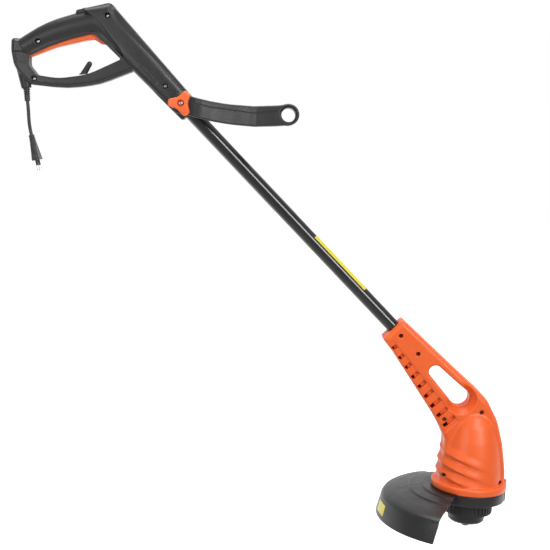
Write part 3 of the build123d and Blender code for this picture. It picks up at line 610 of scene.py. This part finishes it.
def head_housing():
    """Two hollow halves: neck with its window and vents, motor dome, rib, flange and front boss."""
    grid = Grid((585, -2, -773), (843, 71, -458), 1.0)
    neck = plate(grid.outline(NECK_CORNERS), grid.y - NECK_HALF, 9.0)
    hole, dish = window_field(grid)
    panel, backing, grooves = vent_fields(grid)
    neck = cut(neck, panel, 0.8)
    outer = join(neck, dome_field(grid), 3.0)
    outer = join(outer, plate(grid.outline(RIB_CORNERS), grid.y - 7, 1.6), 1.6)
    outer = cut(cut(outer, dish, 1.0), hole, 4.0)
    away = np.hypot(grid.x - AXIS_X, grid.y)
    ring = plate(away - FLANGE_R, np.abs(grid.z - (FLANGE_TOP + FLANGE_BOTTOM) / 2) - 7.0, 4.5)
    outer = join(outer, ring, 3.0)
    boss = np.maximum(np.hypot(grid.x - BOSS_X, grid.y) - BOSS_R, np.maximum(grid.z + 750.5, -770 - grid.z))
    outer = join(outer, boss, 1.6)
    wall = -(outer + WALL)
    socket = np.maximum(grid.off_shaft() - 16.0, grid.along - 598)
    web = np.maximum(np.maximum(grid.across + 11.5, 590 - grid.along), np.maximum(grid.along - 742, grid.y - 2.0))
    wall = np.minimum(np.minimum(wall, socket), np.minimum(web, backing))
    outer = cut(seam_groove(grid, outer), grooves, 0.6)
    bore = np.maximum(grid.off_shaft() - TUBE_R - 0.1, grid.along - 600.5)
    bottom = np.maximum(away - 57, grid.z + 756)
    for side, name in ((-1, "head_shell_right"), (1, "head_shell_left")):
        solid = wall
        for x, z, _ in HEAD_SCREWS:
            solid = np.minimum(solid, np.maximum(grid.away(x, z) - 6.2, 3 - grid.y))
        shell = np.maximum(outer, solid)
        shell = cut(cut(shell, bore), bottom)
        for x, z, deep in HEAD_SCREWS:
            screw = grid.away(x, z)
            if side < 0:
                shell = cut(shell, np.maximum(screw - 3.9, deep - grid.y), 0.5)
            shell = cut(shell, screw - 1.6)
        shell = np.maximum(shell, SEAM - grid.y)
        carve(name, grid, shell, side)
        finish_piece(name, "casing", orange,
                     ("head_housing_right",) if side < 0 else ("head_housing_left",))


# ---------------------------------------------------------------- rear handle
GRIP_CORNERS = [
    (-79, -10, 3), (-46, 12.5, 140), (-12, 29.5, 140), (20, 40, 2.5), (23, 45.5, 2.5), (80, 61, 8),
    at_shaft(21, 19.7, 3), at_shaft(21, -19.7, 3), at_shaft(-168, -26, 8), (53, 7, 8.5), (15, -4, 150),
    (-22, -18.5, 150), (-60, -38, 3),
]
HOOD_CORNERS = [(20, 40, 1.5), (23, 45.5, 2.5), (80, 61, 8), (90, 52, 1), (80, 54, 6), (27, 39.5, 1.5)]
GRIP_TOP = [(-110, -34), (-79, -10), (-46, 12.5), (-30, 21.5), (-12, 29.5), (20, 41), (50, 50), (80, 60), (120, 70)]
GRIP_UNDER = [
    (-100, -62), (-60, -38), (-40, -27), (-22, -18.5), (-4, -11), (15, -4), (36, 2), (53, 7), (56, 6),
    on_shaft(-160, -26), on_shaft(-120, -25), on_shaft(-60, -24),
]
BARREL_TOP = [(40, 50), (80, 60.5), on_shaft(21, 19.7), on_shaft(60, 16)]
BARREL_UNDER = [on_shaft(-260, -28), on_shaft(-168, -26), on_shaft(21, -19.7), on_shaft(60, -16)]
BARREL_SIDE = [
    (20, 56, 1), (57, 33, 4), (64, 27, 8), (97.5, -13.5, 8), (106, -26, 1), at_shaft(-110, -40, 1),
    at_shaft(40, -40, 1), at_shaft(40, 40, 1), (90, 90, 1), (20, 90, 1),
]
LOOP_CORNERS = [
    (-79, -8, 3), (-89, -8, 6), (-89, -30, 40), (-84, -52, 15), (-76, -66, 5), (-53, -86, 8), (10, -89.5, 200),
    (66, -79, 150), at_shaft(-96, -16, 3), at_shaft(-190, -14, 3), (30, 12, 3), (-40, -12, 3),
]
HAND_GAP = [
    (-57, -37, 2), (-57, -53, 8), (-43, -69, 8), (-5, -72.8, 100), (45, -63.5, 100), at_shaft(-128, -24.6, 2),
    at_shaft(-168, -26, 8), (53, 7, 8.5), (15, -4, 150), (-22, -18.5, 150),
]
GRIP_CAVITY = [
    (-48, 5, 3), (-13, 23.5, 40), (24, 36, 5), (73, 50.5, 5), at_shaft(-92, 19.5, 3), at_shaft(-92, -18.5, 3),
    at_shaft(-158, -20.5, 3), (54, 13, 3), (15, 2, 40), (-22, -12, 40), (-48, -24.5, 3),
]
TRIGGER_CORNERS = [
    (-62, -34, 3), (-57, -39.5, 3), (-11, -19.5, 60), (38, -5.5, 60), (54, -2.5, 10), (66, -9.5, 7), (74, -10, 2),
    (76, -2, 2), (56, 12, 5), (14, 1, 60), (-24, -14, 60), (-52, -26, 5),
]
HANDLE_HALF = 20
HANDLE_SCREWS = [(77, 38, 20), (-41.5, -12, 20), (181.5, -76, 20), (-47, -76, 15)]


def swung(corners, degrees):
    """The trigger's outline turned about its pin, up into the grip for positive degrees."""
    c, s = math.cos(math.radians(degrees)), math.sin(math.radians(degrees))
    x0, z0 = TRIGGER_PIN.x, TRIGGER_PIN.z
    return [(x0 + (x - x0) * c - (z - z0) * s, z0 + (x - x0) * s + (z - z0) * c, r) for x, z, r in corners]


def rear_handle():
    """Two hollow halves: grip, barrel, hood over the corner, guard loop and cord outlet."""
    grid = Grid((-92, -2, -135), (244, 23, 65), 0.9)
    slab = plate(grid.outline(GRIP_CORNERS), grid.y - HANDLE_HALF, 4.0)
    grip = np.maximum(slab, swell(grid, GRIP_TOP, GRIP_UNDER, 18.8, 2.2))
    barrel = np.maximum(slab, swell(grid, BARREL_TOP, BARREL_UNDER, HANDLE_HALF, 3.3))
    barrel = np.maximum(barrel, grid.outline(BARREL_SIDE))
    hood = plate(grid.outline(HOOD_CORNERS), grid.y - 13.0, 1.5)
    body = join(join(grip, barrel, 0.3), hood, 0.8)
    rim = grid.outline(LOOP_CORNERS)
    gap = grid.outline(HAND_GAP)
    half = 11.0 + 4.0 * smooth_step(-rim, 0.5, 6.5)
    band = smooth_step(grid.z, -50, -48) * (1 - smooth_step(grid.z, -32, -29)) * (grid.x < -55)
    half = half - 1.6 * band * smooth_step(-rim, 4, 7)
    loop = plate(np.maximum(rim, -gap), grid.y - half, 2.2)
    body = join(body, loop, 0.6)
    body = join(body, bar(grid, (-68.5, 0, -60), (-62.6, 0, -92.5), 12, 8.6), 0.8)
    panel = np.maximum(np.maximum(np.abs(grid.across + 8.5) - 3.0, np.abs(grid.along + 74) - 20), 19.6 - grid.y)
    body = cut(body, panel, 0.3)
    body = seam_groove(grid, body)
    body = cut(body, np.maximum(plate(grid.outline(GRIP_CAVITY), grid.y - 15.5, 2.0), body + 3.2))
    body = cut(body, np.maximum(np.maximum(grid.off_shaft() - TUBE_R - 0.1, grid.along - 30),
                                -37 - grid.along))
    body = cut(body, np.maximum(grid.off_shaft() - 11.3, np.abs(grid.along + 69) - 34))
    swept = [grid.outline(swung(TRIGGER_CORNERS, degrees)) for degrees in (-0.3, 0.9, 3.1)]
    slot = np.minimum(np.minimum(swept[0], swept[1]), swept[2])
    body = cut(body, np.maximum(slot - 0.3, grid.y - 8.6), 0.4)
    body = cut(body, grid.away(PIVOT.x, PIVOT.z) - 3.3)
    body = cut(body, bar(grid, (-68.0, 0, -50), (-62.0, 0, -96.0), 4.3))
    for side, name in ((-1, "rear_shell_right"), (1, "rear_shell_left")):
        shell = body
        for x, z, deep in HANDLE_SCREWS:
            screw = grid.away(x, z)
            if side < 0:
                shell = cut(shell, np.maximum(screw - 4.7, deep - 6.5 - grid.y), 0.6)
            shell = cut(shell, np.maximum(screw - 1.6, grid.y - deep + 5))
        carve(name, grid, np.maximum(shell, SEAM - grid.y), side)
        finish_piece(name, "casing", satin,
                     ("rear_handle_right",) if side < 0 else ("rear_handle_left",))


# ---------------------------------------------------------------- front handle
ARM_CORNERS = [
    (212, -87, 3), (262, -98, 350), (338, -104.5, 350), (398, -95.5, 3), (410, -113, 5), (398, -130.5, 3),
    (338, -138.5, 350), (262, -132, 350), (212, -121, 3),
]
GRIP_R, GRIP_HALF = 17.5, 60


def front_handle():
    """Two arms that spread from the clamp bolt to a hollow cross grip, each with a shallow step along its outside."""
    grid = Grid((186, -62, -146), (419, 62, -79), 0.85)
    tube = grid.away(GRIP_BORE.x, GRIP_BORE.z)
    side = grid.outline(ARM_CORNERS)
    hub = grid.away(PIVOT.x, PIVOT.z)
    arm_side = join(side, hub - 18.5, 2.0)
    arm_side = join(arm_side, tube - GRIP_R, 3.0)
    away = np.abs(grid.y)
    ease = np.interp(grid.x[:, 0, 0], [186, 236, 248, 343, 357, 419], [0, 0, 0.06, 0.94, 1, 1])[:, None, None]
    inner, outer = 20.5 + 28.5 * ease, 33 + 27 * ease
    top_edge = line_field([corner[:2] for corner in ARM_CORNERS[:4]], grid.x, grid.z)
    lower = smooth_step(top_edge, 8.6, 9.8)
    band = 0.7 * lower * smooth_step(grid.x, 236, 244) * (1 - smooth_step(grid.x, 372, 380))
    flat = np.maximum(away - outer + band, inner - away) * 0.965
    arms = plate(arm_side, flat, 2.6)
    grip = plate(tube - GRIP_R, away - GRIP_HALF, 2.5)
    body = join(arms, grip, 2.5)
    body = cut(body, tube - 12.4)
    body = cut(body, np.maximum(tube - 14.2, 50 - away), 0.8)
    body = cut(body, hub - 3.3)
    body = cut(body, np.maximum(hub - 6.5, 27.8 - grid.y))
    carve("folding_grip", grid, body)
    finish_piece("folding_grip", "front_handle", satin_fine, ("front_handle",))


# ---------------------------------------------------------------- knob, trigger and plug
def clamp_knob():
    """Three blunt lobes with hollowed sides, a soft front edge and a recess for the bolt's head."""
    grid = Grid((186, -50, -130), (238, -31, -78), 0.5)
    corners = []
    for i in range(3):
        for turn, radius, rounding in ((-15, 22.9, 4.5), (15, 22.9, 4.5), (60, 11.6, 16)):
            angle = math.radians(60 + 120 * i + turn)
            corners.append((PIVOT.x + radius * math.cos(angle), PIVOT.z + radius * math.sin(angle), rounding))
    side = grid.outline(corners)
    away = grid.away(PIVOT.x, PIVOT.z)
    front = -48.0 + 1.6 * (away / 22.5) ** 2
    body = plate(side, np.maximum(front - grid.y, -(grid.y + 60)), 2.6)
    body = np.maximum(body, grid.y + 33.3)
    body = cut(body, np.maximum(away - 6.0, grid.y + 40.5), 0.8)
    body = cut(body, away - 3.0)
    carve("star_knob", grid, body)
    finish_piece("star_knob", "knob", orange_trigger, ("clamp_knob",))


def trigger():
    """Long curved paddle with rounded edges and a bore for its pin."""
    grid = Grid((-65, -9.5, -42), (79, 9.5, 15), 0.5)
    body = plate(grid.outline(TRIGGER_CORNERS), np.abs(grid.y) - 8.0, 2.4)
    body = cut(body, grid.away(TRIGGER_PIN.x, TRIGGER_PIN.z) - 2.05)
    carve("trigger_lever", grid, body)
    finish_piece("trigger_lever", "trigger", orange_trigger, ("trigger",))


PLUG_START, PLUG_TILT, PLUG_LENGTH = (-51.9, 0.0, -173.0), math.atan2(0.26, 0.966), 45.0


def plug():
    """Moulded flat plug: neck with two grip ribs, waist, and a flared face, radiused everywhere."""
    grid = Grid((-66, -20, -222), (-28, 20, -171), 0.45)
    dx, dz = grid.x - PLUG_START[0], grid.z - PLUG_START[2]
    along = dx * math.sin(PLUG_TILT) - dz * math.cos(PLUG_TILT)
    thick = np.abs(dx * math.cos(PLUG_TILT) + dz * math.sin(PLUG_TILT))
    half = np.interp(along, [0, 9, 20, 33, 45], [5.5, 6.6, 10.0, 14.2, 17.6])
    deep = np.interp(along, [0, 12, 30, 45], [4.7, 5.0, 5.7, 6.8])
    for place in (4.5, 9.0, 13.5):
        groove = 0.6 * np.clip(1 - np.abs(along - place) / 1.1, 0, 1)
        half, deep = half - groove, deep - groove
    grip = smooth_step(along, 20, 23) * (1 - smooth_step(along, 38, 41))
    hollow = 0.9 * grip * (1 - smooth_step(np.abs(grid.y), half - 6, half - 3.5))
    section = plate(np.abs(grid.y) - half, thick - deep + hollow, 4.2)
    body = plate(section * 0.94, np.abs(along - PLUG_LENGTH / 2) - PLUG_LENGTH / 2, 1.0)
    carve("plug_body", grid, body)
    finish_piece("plug_body", "casing", cord_rubber, ("cord_plug",))


# ---------------------------------------------------------------- screws
def screws(name, body, material, node, places, head=3.1, shank=1.5):
    """Pan-head cross screws facing the operator's right; places are (x, z, top of the head in y, end in y)."""
    grid = Grid((-4.6, -0.6, -4.6), (4.6, 10, 4.6), 0.22)
    away = np.hypot(grid.x, grid.z)
    crown = 0.9 * (away / head) ** 2
    solid = plate(away - head, np.maximum(crown - grid.y, grid.y - 2.8), 0.4)
    solid = join(solid, np.maximum(away - shank, np.maximum(2.0 - grid.y, grid.y - 9.0)))
    slot_wide, slot_long, slot_deep = 0.52, 1.9, 1.7
    cross = np.minimum(np.maximum(np.abs(grid.x) - slot_wide, np.abs(grid.z) - slot_long),
                       np.maximum(np.abs(grid.z) - slot_wide, np.abs(grid.x) - slot_long))
    solid = cut(solid, np.maximum(cross, grid.y - slot_deep), 0.1)
    points, quads = surface_nets(solid.astype(np.float32))
    points = grid.low + points * grid.step
    bm = bmesh.new()
    for index, (x, z, top, end) in enumerate(places):
        angle = 0.5 + 1.3 * index
        c, s = math.cos(angle), math.sin(angle)
        longer = np.where(points[:, 1] > 8.0, end - top - 9.0, 0.0)
        moved = np.stack([x + points[:, 0] * c - points[:, 2] * s, top + points[:, 1] + longer,
                          z + points[:, 0] * s + points[:, 2] * c], 1) * MM
        verts = [bm.verts.new(p) for p in moved]
        for quad in quads[:, ::-1]:
            bm.faces.new([verts[i] for i in quad])
    bmesh.ops.recalc_face_normals(bm, faces=bm.faces)
    mesh = bpy.data.meshes.new(name)
    bm.to_mesh(mesh)
    shade_smooth(mesh)
    link_mesh(name, mesh)
    finish_piece(name, body, material, (node,))


# ---------------------------------------------------------------- guard
GUARD_PROFILE = [
    (63, -768, 0.5), (85, -768, 1.8), (86.5, -771, 1.6), (108, -773, 1.2), (110, -776, 1.4), (133, -780, 30),
    (148, -784.5, 20), (154, -788, 6), (157.5, -793, 6), (166, -828, 1.1), (163.4, -828, 1.1), (155, -794, 5),
    (152.4, -790.3, 4), (147, -787.3, 18), (132.5, -782.8, 28), (109, -778.8, 1.2), (107, -775.6, 1.4),
    (85.5, -773.6, 1.6), (84, -770.6, 1.6), (63, -770.6, 0.5),
]
PLATE_PROFILE = [(18, -767, 0.6), (66, -767, 1.0), (66, -786, 1.3), (63, -786, 1.3), (63, -770, 1.5), (18, -770, 0.6)]


GUARD_HALF = math.radians(62)
GUARD_FOOT, FOOT_ROUND = -828.0, 9.0


def lathe(bm, profile, angles, lean=None, closed=False):
    """Sweep a closed (r, z) profile about the spool's axis; lean(r, z, t) gives each point's angle."""
    rings = []
    for t in angles:
        ring = []
        for r, z in profile:
            a = math.pi + (lean(r, z, t) if lean else t)
            ring.append(bm.verts.new(((AXIS_X + r * math.cos(a)) * MM, r * math.sin(a) * MM, z * MM)))
        rings.append(ring)
    count = len(profile)
    for i in range(len(rings) - (0 if closed else 1)):
        one, two = rings[i], rings[(i + 1) % len(rings)]
        for k in range(count):
            bm.faces.new((one[k], one[(k + 1) % count], two[(k + 1) % count], two[k]))
    if not closed:
        bm.faces.new(rings[0][::-1])
        bm.faces.new(rings[-1])


def guard():
    """Half-round guard: stepped deck and skirt, a thin collar and plate under the flange, rounded lower corners."""
    bm = bmesh.new()

    def lean(r, z, t):
        rise = max(0.0, FOOT_ROUND - (z - GUARD_FOOT))
        corner = (FOOT_ROUND - math.sqrt(max(0.0, FOOT_ROUND ** 2 - min(rise, FOOT_ROUND) ** 2))) / r
        return t * (GUARD_HALF - corner)

    profile = rounded(GUARD_PROFILE, math.radians(14))
    steps = np.linspace(-1, 1, 181)
    lathe(bm, [tuple(p) for p in profile], steps, lean)
    lathe(bm, [tuple(p) for p in rounded(PLATE_PROFILE, math.radians(20))],
          [math.tau * k / 192 for k in range(192)], closed=True)
    boss = rounded([(0.01, -770, 0.1), (BOSS_R, -770, 0.3), (BOSS_R, -791, 1.2), (0.01, -791, 0.1)], math.radians(25))
    rings = [[bm.verts.new(((BOSS_X + r * math.cos(a)) * MM, r * math.sin(a) * MM, z * MM)) for r, z in boss]
             for a in (math.tau * k / 40 for k in range(40))]
    for one, two in zip(rings, rings[1:] + rings[:1]):
        for k in range(len(boss)):
            bm.faces.new((one[k], one[(k + 1) % len(boss)], two[(k + 1) % len(boss)], two[k]))
    bmesh.ops.recalc_face_normals(bm, faces=bm.faces)
    mesh = bpy.data.meshes.new("half_guard")
    bm.to_mesh(mesh)
    shade_smooth(mesh)
    piece = link_mesh("half_guard", mesh)
    edge = piece.modifiers.new("cut edges", "BEVEL")
    edge.width, edge.segments, edge.limit_method, edge.angle_limit = 0.9 * MM, 3, "ANGLE", math.radians(60)
    finish_piece("half_guard", "casing", guard_skin, ("guard",))


head_housing()
rear_handle()
front_handle()
clamp_knob()
trigger()
plug()
guard()
screws("casing_screws", "casing", FINISHES["screw_steel"], "handle_screws",
       [(x, z, -deep + 4.2, deep - 6) for x, z, deep in HANDLE_SCREWS])
screws("housing_screws", "casing", FINISHES["dark_screw"], "head_screws",
       [(x, z, -deep - 2.2, 11) for x, z, deep in HEAD_SCREWS])
screws("clamp_screw", "knob", FINISHES["screw_steel"], "clamp_bolt",
       [(PIVOT.x, PIVOT.z, -44.5, 33)], head=3.4, shank=2.9)


# ---------------------------------------------------------------- camera, floor and light
PITCH, ROLL = math.radians(7.46), math.radians(3.3)
forward = Vector((math.sin(PITCH) * math.sin(ROLL), math.cos(PITCH), -math.sin(PITCH) * math.cos(ROLL)))
right = Vector((math.cos(ROLL), 0, math.sin(ROLL)))
up = right.cross(forward)
lens = bpy.data.cameras.new("camera")
lens.lens, lens.sensor_width = 70.0, 36.0
camera = bpy.data.objects.new("camera", lens)
bpy.context.scene.collection.objects.link(camera)
camera.matrix_world = Matrix.Translation((0.3765, -1.9, -0.1486)) @ Matrix(
    [[a, b, -c] for a, b, c in zip(right, up, forward)]).to_4x4()
bpy.context.scene.camera = camera


def flat_floor():
    """Pale floor well below the head, clear from underneath; painted light: it glows white towards the back so that
    it reads white behind the object, and its colour darkens towards the camera.
    """
    mesh = bpy.data.meshes.new("floor")
    bm = bmesh.new()
    depth = CAD_LOW.z - 0.45
    for x, y in ((-9, -5), (10, -5), (10, 14), (-9, 14)):
        bm.verts.new((x, y, depth))
    bm.faces.new(bm.verts)
    bm.to_mesh(mesh)
    floor = link_mesh("floor", mesh)
    s = Shader("floor", (0.8, 0.8, 0.8), 0.9)
    # Painted light: from the camera's side to the back the floor's colour pales and it glows, up to white.
    back = s.spread(s.add("ShaderNodeSeparateXYZ", {"Vector": s.place}).outputs["Y"], -0.4, 0.6)
    s.wire("Base Color", s.mix(back, (0.45, 0.45, 0.45), (0.92, 0.92, 0.92)))
    s.surface.inputs["Emission Color"].default_value = (1, 1, 1, 1)
    s.wire("Emission Strength", s.spread(back, 0, 1, 0.0, 0.75))
    underside = s.add("ShaderNodeNewGeometry").outputs["Backfacing"]
    s.wire("Alpha", s.spread(underside, 0, 1, 1.0, 0.0))
    floor.data.materials.append(s.material)


def area_light(name, length, width, power):
    lamp = bpy.data.lights.new(name, "AREA")
    lamp.shape, lamp.size, lamp.size_y, lamp.energy = "RECTANGLE", length, width, power
    light = bpy.data.objects.new(name, lamp)
    bpy.context.scene.collection.objects.link(light)
    return light


def soft_light(name, place, target, size, power, height=None):
    light = area_light(name, size, height or size, power)
    light.location = place
    light.rotation_euler = (Vector(target) - Vector(place)).to_track_quat("-Z", "Y").to_euler()


STRIP_LIFT = math.radians(35)


def strip_light(name, along, length, width, away, power):
    """Long lamp parallel to the shaft, in front of it and above, for the line of light down the paint."""
    light = area_light(name, length, width, power)
    shaft = Vector((math.cos(SLOPE), 0, -math.sin(SLOPE)))
    over = Vector((math.sin(SLOPE), 0, math.cos(SLOPE)))
    out = (over * math.sin(STRIP_LIFT) + Vector((0, -math.cos(STRIP_LIFT), 0))).normalized()
    x, z = on_shaft(along / MM)
    place = Vector((x, 0, z)) * MM + out * away
    side = out.cross(shaft)
    light.matrix_world = Matrix.Translation(place) @ Matrix(
        [[a, b, c] for a, b, c in zip(shaft, side, out)]).to_4x4()


def white_room():
    """White behind the object, dimmer on the camera's side, so that gloss and edges read."""
    world = bpy.data.worlds.new("white_room")
    world.use_nodes = True
    tree = world.node_tree
    place = tree.nodes.new("ShaderNodeTexCoord").outputs["Generated"]
    split = tree.nodes.new("ShaderNodeSeparateXYZ")
    ramp = tree.nodes.new("ShaderNodeMapRange")
    for key, value in (("From Min", 0.0), ("From Max", 0.72), ("To Min", 0.32), ("To Max", 1.0)):
        ramp.inputs[key].default_value = value
    tree.links.new(place, split.inputs["Vector"])
    tree.links.new(split.outputs["Y"], ramp.inputs["Value"])
    tree.links.new(ramp.outputs["Result"], tree.nodes["Background"].inputs["Strength"])
    tree.nodes["Background"].inputs["Color"].default_value = (1, 1, 1, 1)
    bpy.context.scene.world = world


flat_floor()
white_room()
soft_light("top", (0.2, -0.1, 1.9), (0.35, 0, -0.35), 1.7, 50)
soft_light("left", (-0.95, -1.9, -0.05), (0.3, 0, -0.12), 0.8, 11, 0.9)
strip_light("shaft_strip", 0.45, 1.7, 0.62, 2.2, 34)
bpy.context.scene.view_settings.view_transform = "Standard"
